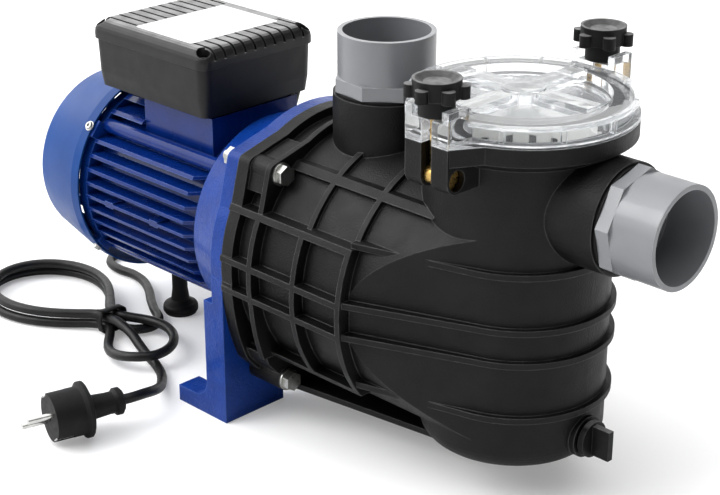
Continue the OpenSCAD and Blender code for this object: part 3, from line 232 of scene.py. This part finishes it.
# finishes: one dictionary each, colours as linear values; grain and dents are scale and depth,
# the edge entry is radius, colour and amount of a painted edge colour, mostly a painted highlight,
# that wear noise breaks up, the entry for faces turned up is grey and amount of painted top light,
# layers are axis, pitch and depth
finishes = {
    "motorPaint": {
        "colour": (0.002, 0.021, 0.160), "other": (0.0015, 0.016, 0.125), "patch": 35,
        "rough": (0.20, 0.30), "shine": 0.08, "coat": 0.45, "grain": (900, 0.00003),
        "dents": (120, 0.00010), "edge": (0.0009, (0.10, 0.20, 0.60), 0.75)},
    "coverPaint": {
        "colour": (0.0025, 0.048, 0.218), "other": (0.0022, 0.040, 0.185), "patch": 18,
        "rough": (0.30, 0.40), "shine": 0.16, "grain": (1500, 0.00003), "dents": (60, 0.00010),
        "edge": (0.0010, (0.10, 0.24, 0.60), 0.5)},
    "castPaint": {
        "colour": (0.003, 0.036, 0.235), "other": (0.002, 0.028, 0.190), "patch": 50,
        "rough": (0.26, 0.42), "shine": 0.14, "coat": 0.15, "grain": (620, 0.00045),
        "dents": (140, 0.0005), "edge": (0.0014, (0.06, 0.15, 0.52), 0.6)},
    "coreSteel": {
        "colour": (0.22, 0.22, 0.23), "other": (0.16, 0.16, 0.17), "patch": 80,
        "rough": (0.35, 0.5), "metal": 1, "grain": (600, 0.00003),
        "layers": ("X", 0.0012, 0.00012)},
    "copperWire": {
        "colour": (0.55, 0.20, 0.07), "other": (0.40, 0.13, 0.04), "patch": 60,
        "rough": (0.25, 0.4), "metal": 1, "grain": (700, 0.00005), "layers": ("X", 0.0016, 0.0004)},
    "plainSteel": {
        "colour": (0.45, 0.45, 0.46), "other": (0.36, 0.36, 0.37), "patch": 90,
        "rough": (0.22, 0.36), "metal": 1, "grain": (1200, 0.00002),
        "layers": ("X", 0.0004, 0.00002)},
    "zincSteel": {
        "colour": (0.52, 0.52, 0.50), "other": (0.40, 0.40, 0.38), "patch": 250,
        "rough": (0.26, 0.42), "metal": 1, "grain": (1500, 0.00004),
        "edge": (0.0004, (0.75, 0.75, 0.74), 0.5)},
    "platedMetal": {
        "colour": (0.66, 0.66, 0.64), "other": (0.56, 0.56, 0.54), "patch": 200,
        "rough": (0.14, 0.24), "metal": 1, "grain": (1500, 0.00002),
        "edge": (0.0003, (0.85, 0.85, 0.84), 0.4)},
    "brass": {
        "colour": (0.60, 0.40, 0.13), "other": (0.46, 0.29, 0.08), "patch": 220,
        "rough": (0.22, 0.38), "metal": 1, "grain": (1400, 0.00004),
        "edge": (0.0004, (0.8, 0.6, 0.28), 0.5)},
    "casingPlastic": {
        "colour": (0.0028, 0.0028, 0.0028), "other": (0.0045, 0.0045, 0.0045), "patch": 30,
        "rough": (0.4, 0.54), "shine": 0.19, "grain": (850, 0.00035), "dents": (40, 0.0003),
        "edge": (0.0012, (0.13, 0.13, 0.13), 0.65)},
    "boxPlastic": {
        "colour": (0.0040, 0.0040, 0.0046), "other": (0.0060, 0.0060, 0.0066), "patch": 40,
        "rough": (0.40, 0.52), "shine": 0.30, "grain": (1300, 0.00012),
        "edge": (0.0009, (0.07, 0.07, 0.073), 0.5)},
    "lidPlastic": {
        "colour": (0.0040, 0.0040, 0.0046), "other": (0.0060, 0.0060, 0.0066), "patch": 40,
        "rough": (0.36, 0.48), "shine": 0.34, "grain": (1300, 0.00010),
        "edge": (0.0009, (0.09, 0.09, 0.093), 0.55), "topLightPaint": (0.30, 0.8)},
    "knobPlastic": {
        "colour": (0.0050, 0.0050, 0.0053), "other": (0.0075, 0.0075, 0.0078), "patch": 80,
        "rough": (0.40, 0.52), "shine": 0.15, "grain": (1300, 0.0002),
        "edge": (0.0010, (0.10, 0.10, 0.10), 0.6), "topLightPaint": (0.26, 0.6)},
    "palePlastic": {
        "colour": (0.80, 0.80, 0.78), "other": (0.74, 0.74, 0.71), "patch": 60,
        "rough": (0.36, 0.5), "grain": (900, 0.00004), "edge": (0.0005, (0.75, 0.75, 0.74), 0.4)},
    "greyPvc": {
        "colour": (0.185, 0.190, 0.202), "other": (0.165, 0.170, 0.182), "patch": 25,
        "rough": (0.30, 0.42), "coat": 0.25, "grain": (700, 0.00005), "dents": (50, 0.00012),
        "edge": (0.0007, (0.50, 0.51, 0.53), 0.7)},
    "sealCeramic": {
        "colour": (0.72, 0.70, 0.66), "other": (0.66, 0.64, 0.6), "patch": 80, "rough": (0.2, 0.3),
        "grain": (1500, 0.00002)},
    "blackRubber": {
        "colour": (0.005, 0.005, 0.005), "other": (0.008, 0.008, 0.0078), "patch": 90,
        "rough": (0.50, 0.64), "shine": 0.18, "grain": (1100, 0.0001),
        "edge": (0.0006, (0.05, 0.05, 0.05), 0.4)},
    "cordRubber": {
        "colour": (0.006, 0.006, 0.006), "other": (0.010, 0.010, 0.010), "patch": 70,
        "rough": (0.34, 0.46), "shine": 0.25, "grain": (1000, 0.0001), "dents": (160, 0.0002)},
}
# noise behind each effect: scale against the patches, detail, and the range that is read from it
effects = {"patches": (1, 4, (0.35, 0.65)), "wearAndHighlight": (4, 2, (0.3, 0.6)), "paintedTopLight": (2, 5, (0.25, 0.6)),
           "rub": (2.3, 5, (0.3, 0.7))}
# what all finishes share: how far an edge turns, what counts as facing up, and plain amounts
shared = {"edgeTurn": (0.985, 0.86), "edgeSamples": 4, "leastWearAndHighlight": 0.45, "leastTopLight": 0.35,
          "facesUp": (0.8, 1), "reliefDetail": 2, "waveScale": 0.314, "waveBreak": 0.6,
          "coatRough": 0.12, "shine": 0.5}


def emptyFinish(name):
    mat = bpy.data.materials.new(name)
    mat.use_nodes = True
    tree = mat.node_tree
    tree.nodes.clear()
    out = tree.nodes.new("ShaderNodeOutputMaterial")
    return mat, tree, out


def feed(tree, spots, values):
    for spot, value in zip(spots, values):
        if isinstance(value, bpy.types.NodeSocket):
            tree.links.new(value, spot)
        else:
            spot.default_value = value


def addNode(tree, kind, **sockets):
    node = tree.nodes.new("ShaderNode" + kind)
    feed(tree, [node.inputs[name.replace("_", " ")] for name in sockets], sockets.values())
    return node


def noiseOn(tree, place, scale, detail=3.0):
    return addNode(tree, "TexNoise", Vector=place, Scale=scale, Detail=detail).outputs["Fac"]


def spread(tree, value, reads, gives, blend="LINEAR"):
    node = addNode(tree, "MapRange", Value=value, From_Min=reads[0], From_Max=reads[1],
                   To_Min=gives[0], To_Max=gives[1])
    node.interpolation_type = blend
    return node.outputs["Result"]


def opaque(colour):
    return (*colour, 1)


def mixColour(tree, share, first, second):
    node = addNode(tree, "Mix")
    node.data_type = "RGBA"
    spots = [node.inputs[i] for i in (0, 6, 7)]  # the share and the two colours
    feed(tree, spots, (share, first, second))
    return node.outputs[2]


def mixShader(tree, share, first, second):
    node = addNode(tree, "MixShader")
    feed(tree, node.inputs, (share, first.outputs[0], second.outputs[0]))
    return node


def sums(tree, kind, first, second):
    node = addNode(tree, "Math")
    node.operation = kind
    feed(tree, node.inputs, (first, second))
    return node.outputs[0]


def facing(tree, first, second):
    node = addNode(tree, "VectorMath")
    node.operation = "DOT_PRODUCT"
    feed(tree, node.inputs, (first, second))
    return node.outputs["Value"]


def edgeMask(tree, radius, amount):
    soft = addNode(tree, "Bevel", Radius=radius)
    soft.samples = shared["edgeSamples"]
    turn = facing(tree, soft.outputs[0], addNode(tree, "NewGeometry").outputs["Normal"])
    return spread(tree, turn, shared["edgeTurn"], (0, amount)), soft.outputs[0]


def makeFinish(name, spec):
    mat, tree, out = emptyFinish(name)
    coords = addNode(tree, "TexCoord").outputs
    place = coords["Object"]

    def effect(kind, gives):
        scale, detail, reads = effects[kind]
        return spread(tree, noiseOn(tree, place, spec["patch"] * scale, detail), reads, gives)

    colour = mixColour(tree, effect("patches", (0, 1)),
                       opaque(spec["colour"]), opaque(spec["other"]))
    normal = None
    if "edge" in spec:  # painted highlight along edges, broken up by wear noise; on metal edges partly real wear
        radius, edgeHighlightColour, amount = spec["edge"]
        wornAndHighlightEdge, normal = edgeMask(tree, radius, amount)
        wornAndHighlightEdge = sums(tree, "MULTIPLY", wornAndHighlightEdge, effect("wearAndHighlight", (shared["leastWearAndHighlight"], 1)))
        colour = mixColour(tree, wornAndHighlightEdge, colour, opaque(edgeHighlightColour))
    if "topLightPaint" in spec:  # painted top light: lighter grey on what faces up, standing in for the overhead light's reflection
        topLightGrey, amount = spec["topLightPaint"]
        up = addNode(tree, "SeparateXYZ", Vector=coords["Normal"]).outputs["Z"]
        paintedTopLight = spread(tree, up, shared["facesUp"], (0, amount))
        paintedTopLight = sums(tree, "MULTIPLY", effect("paintedTopLight", (shared["leastTopLight"], 1)), paintedTopLight)
        colour = mixColour(tree, paintedTopLight, colour, opaque([topLightGrey] * 3))
    reliefs = [spec[kind] for kind in ("grain", "dents") if kind in spec]
    heights = [(noiseOn(tree, place, scale, shared["reliefDetail"]), depth)
               for scale, depth in reliefs]
    if "layers" in spec:  # laminations, strands or turning marks
        axis, pitch, depth = spec["layers"]
        wave = addNode(tree, "TexWave", Vector=place, Scale=shared["waveScale"] / pitch,
                       Distortion=shared["waveBreak"])
        wave.bands_direction = axis
        heights.append((wave.outputs["Fac"], depth))
    for height, depth in heights:
        under = {} if normal is None else {"Normal": normal}
        bump = addNode(tree, "Bump", Height=height, Distance=depth, Strength=1.0, **under)
        normal = bump.outputs[0]
    shader = addNode(tree, "BsdfPrincipled", Base_Color=colour, Normal=normal,
                     Roughness=effect("rub", spec["rough"]), Metallic=spec.get("metal", 0),
                     Coat_Weight=spec.get("coat", 0), Coat_Roughness=shared["coatRough"],
                     Specular_IOR_Level=spec.get("shine", shared["shine"]))
    tree.links.new(shader.outputs[0], out.inputs["Surface"])
    return mat


paints = {name: makeFinish(name, spec) for name, spec in finishes.items()}


# clear strainer lid: moulded plastic that light passes through, with a painted white reflection
# where it is seen at a slant and painted white highlights along its edges
clearLid = {"colour": (0.985, 0.99, 0.995), "rough": (0.01, 0.04), "rub": (90, (0.35, 0.7)),
            "bend": 1.42, "waves": (45, 0.0004), "slant": 0.35, "paintedWhite": (0.05, 0.28),
            "white": (0.86, 0.88, 0.90), "halves": 0.5, "edge": (0.0012, 0.75), "shade": 0.85,
            "through": (0.96, 0.97, 0.98)}


def makeClear(name, spec):
    mat, tree, out = emptyFinish(name)
    place = addNode(tree, "TexCoord").outputs["Object"]
    scale, depth = spec["waves"]
    waves = noiseOn(tree, place, scale, shared["reliefDetail"])
    bump = addNode(tree, "Bump", Height=waves, Distance=depth, Strength=1.0)
    scale, reads = spec["rub"]
    rough = spread(tree, noiseOn(tree, place, scale), reads, spec["rough"])
    clear = addNode(tree, "BsdfPrincipled", Base_Color=opaque(spec["colour"]), Roughness=rough,
                    Normal=bump.outputs[0], IOR=spec["bend"], Transmission_Weight=1)
    paintedWhite = addNode(tree, "BsdfTranslucent", Color=opaque(spec["white"]))
    bright = addNode(tree, "BsdfDiffuse", Color=opaque(spec["white"]))
    slant = addNode(tree, "LayerWeight", Blend=spec["slant"])
    paintedWhiteShare = spread(tree, slant.outputs["Facing"], (0, 1), spec["paintedWhite"])
    # painted white highlights along the edges, joined to the painted slant reflection
    paintedWhiteShare = sums(tree, "MAXIMUM", paintedWhiteShare, edgeMask(tree, *spec["edge"])[0])
    body = mixShader(tree, paintedWhiteShare, clear, mixShader(tree, spec["halves"], paintedWhite, bright))
    through = addNode(tree, "BsdfTransparent", Color=opaque(spec["through"]))
    ray = addNode(tree, "LightPath").outputs
    shade = sums(tree, "MULTIPLY", ray["Is Shadow Ray"], spec["shade"])
    tree.links.new(mixShader(tree, shade, body, through).outputs[0], out.inputs["Surface"])
    return mat


paints["clearPlastic"] = makeClear("clearPlastic", clearLid)
print("finishes made,", len(paints))

# which finish each node wears
wears = {
    "motorPaint": ["motor_frame"],
    "coverPaint": ["fan_cover"],
    "castPaint": ["pump_bracket", "rear_end_shield"],
    "coreSteel": ["stator_core", "rotor_core"],
    "copperWire": ["stator_winding"],
    "plainSteel": ["motor_shaft", "front_bearing_outer_ring", "rear_bearing_outer_ring",
                   "front_bearing_inner_ring", "rear_bearing_inner_ring", "front_bearing_balls",
                   "rear_bearing_balls", "seal_head"],
    "zincSteel": ["tie_rods", "fan_cover_screws", "terminal_lid_screws", "casing_bolts",
                  "casing_washers", "casing_nuts"],
    "platedMetal": ["plug_pins", "plug_earth_contacts"],
    "brass": ["pivot_pins", "left_swing_bolt", "right_swing_bolt", "left_knob_insert",
              "right_knob_insert", "impeller_nut"],
    "casingPlastic": ["pump_casing", "seal_plate", "diffuser", "impeller"],
    "boxPlastic": ["terminal_box", "cable_gland", "cooling_fan"],
    "lidPlastic": ["terminal_box_lid"],
    "knobPlastic": ["left_knob", "right_knob", "drain_plug"],
    "palePlastic": ["strainer_basket", "terminal_block", "run_capacitor"],
    "greyPvc": ["suction_adapter", "discharge_adapter"],
    "clearPlastic": ["strainer_lid"],
    "sealCeramic": ["seal_seat"],
    "blackRubber": ["terminal_box_gasket", "support_foot", "casing_o_ring", "drain_plug_o_ring",
                    "lid_o_ring", "discharge_gasket", "suction_gasket", "slinger", "plug_body"],
}
for name, members in wears.items():
    for node in members:
        nodes[node].data.materials.clear()
        nodes[node].data.materials.append(paints[name])
mainsCord.data.materials.append(paints["cordRubber"])
cordStrap.data.materials.append(paints["blackRubber"])
painted = {node for members in wears.values() for node in members}
print("nodes painted; without a finish, as a piece stands for them:", sorted(set(nodes) - painted))

# blank label on the terminal lid
label = {"rear": 0.0455, "front": 0.0245, "side": (-0.048, 0.041), "corner": 0.002,
         "cornerSteps": 5, "gap": 0.00002, "thick": 0.00015}
labelPaper = {"colour": (0.86, 0.86, 0.86), "other": (0.82, 0.82, 0.82), "patch": 40,
              "rough": (0.34, 0.44), "grain": (900, 0.00002)}


def makeLabel():
    low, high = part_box("terminal_box_lid")
    r, steps = label["corner"], label["cornerSteps"]
    x0, x1 = low.x + label["rear"] + r, high.x - label["front"] - r
    y0, y1 = label["side"][0] + r, label["side"][1] - r
    shape = bmesh.new()
    ring = []
    for corner, (x, y) in enumerate(((x1, y1), (x0, y1), (x0, y0), (x1, y0))):
        for step in range(steps + 1):
            c, s = cosSin(90 * (corner + step / steps))
            ring.append(shape.verts.new((x + r * c, y + r * s, high.z + label["gap"])))
    up = bmesh.ops.extrude_face_region(shape, geom=[shape.faces.new(ring)])
    top = [v for v in up["geom"] if isinstance(v, bmesh.types.BMVert)]
    bmesh.ops.translate(shape, vec=(0, 0, label["thick"]), verts=top)
    bmesh.ops.recalc_face_normals(shape, faces=shape.faces)
    return meshPiece("blankLabel", shape)


blankLabel = makeLabel()
blankLabel.data.materials.append(makeFinish("labelPaper", labelPaper))
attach(blankLabel, "pump")
print("label laid")

# floor and light: soft boxes in the sky, as middle, range and power, and one soft lamp
studio = {
    "floor": {"size": 32.0, "cells": 4, "drop": 0.0003, "white": 0.80, "lift": 0.22},
    "wall": {"radius": 30.0, "high": 5.0, "sink": 0.01, "sides": 96, "glow": 1.0},
    "sky": 0.08,
    "boxes": [((0, 0, 1), (0.60, 0.95), 1.8), ((-0.68, -0.56, 0.48), (0.55, 0.92), 2.25),
              ((-0.85, 0.45, 0.30), (0.70, 0.95), 1.8), ((0.95, 0.20, 0.30), (0.88, 0.98), 0.3)],
    "lamp": {"turn": (38, -34, 0), "power": 1.15, "width": 30},
}
white = (1, 1, 1, 1)


# light that is only seen, by the camera and the given rays, and lights nothing
def seenGlow(tree, strength, *kinds):
    ray = addNode(tree, "LightPath").outputs
    seen = ray["Is Camera Ray"]
    for kind in kinds:
        seen = sums(tree, "MAXIMUM", seen, ray[kind])
    return addNode(tree, "Emission", Color=white, Strength=sums(tree, "MULTIPLY", seen, strength))


def makeFloor():
    spec = studio["floor"]
    shape = bmesh.new()
    bmesh.ops.create_grid(shape, x_segments=spec["cells"], y_segments=spec["cells"],
                          size=spec["size"])
    piece = meshPiece("floor", shape)
    piece.location.z = -spec["drop"]
    mat, tree, out = emptyFinish("floorWhite")
    matte = addNode(tree, "BsdfDiffuse", Color=opaque([spec["white"]] * 3))
    glow = seenGlow(tree, spec["lift"], "Is Transmission Ray")
    both = addNode(tree, "AddShader")
    feed(tree, both.inputs, (matte.outputs[0], glow.outputs[0]))
    tree.links.new(both.outputs[0], out.inputs["Surface"])
    piece.data.materials.append(mat)


# low white wall far off, inside the floor's edge, that hides the horizon
def makeWall():
    spec = studio["wall"]
    shape = bmesh.new()
    bmesh.ops.create_cone(shape, segments=spec["sides"], radius1=spec["radius"],
                          radius2=spec["radius"], depth=spec["high"], cap_ends=False)
    bmesh.ops.translate(shape, vec=(0, 0, spec["high"] / 2 - spec["sink"]), verts=shape.verts)
    piece = meshPiece("wall", shape)
    mat, tree, out = emptyFinish("wallWhite")
    glow = seenGlow(tree, spec["glow"], "Is Glossy Ray", "Is Transmission Ray")
    tree.links.new(glow.outputs[0], out.inputs["Surface"])
    piece.data.materials.append(mat)
    piece.visible_shadow = False
    piece.visible_diffuse = False


def makeLight():
    spec = studio["lamp"]
    lamp = bpy.data.lights.new("softLamp", "SUN")
    lamp.energy = spec["power"]
    lamp.angle = math.radians(spec["width"])
    piece = addPiece("softLamp", lamp)
    piece.rotation_euler = [math.radians(a) for a in spec["turn"]]
    world = bpy.data.worlds.new("studio")
    world.use_nodes = True
    tree = world.node_tree
    tree.nodes.clear()
    way = addNode(tree, "TexCoord").outputs["Generated"]
    total = studio["sky"]
    for middle, reads, power in studio["boxes"]:
        toward = facing(tree, way, Vector(middle).normalized())
        total = sums(tree, "ADD", total, spread(tree, toward, reads, (0, power), "SMOOTHSTEP"))
    sky = addNode(tree, "Background", Color=white, Strength=total)
    tree.links.new(sky.outputs[0], addNode(tree, "OutputWorld").inputs["Surface"])
    scene.world = world


makeFloor()
makeWall()
makeLight()
scene.view_settings.view_transform = "Standard"
print("floor and light set")
